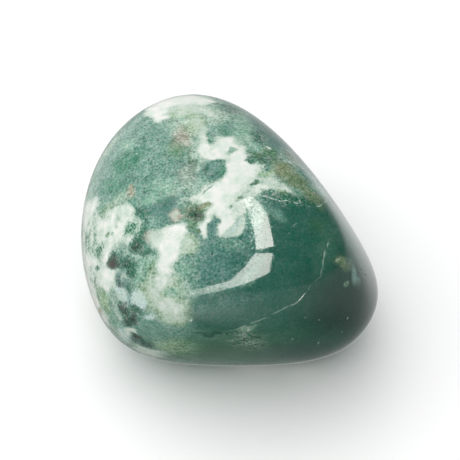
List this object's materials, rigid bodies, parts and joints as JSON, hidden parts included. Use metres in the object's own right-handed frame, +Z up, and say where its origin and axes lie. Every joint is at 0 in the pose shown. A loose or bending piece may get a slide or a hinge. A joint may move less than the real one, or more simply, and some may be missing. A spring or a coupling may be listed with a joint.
{
  "type": "tumbled tree agate",
  "caption": "Rounded, tumble-polished pebble of moss-green and milky white agate, with one long sloping side and a worn flat face that it lies on.",
  "frame": {"origin": "under the middle of the stone's bounding box, on the surface that the stone lies on", "axes": "+Z up, +X to the right and +Y away from the viewer, as the stone is seen from the front"},
  "size_m": [0.03, 0.0322, 0.0237],
  "materials": {
    "polished_agate": "tumble-polished to a high gloss"
  },
  "bodies": {
    "root": {"stone": "polished_agate"}
  },
  "joints": []
}
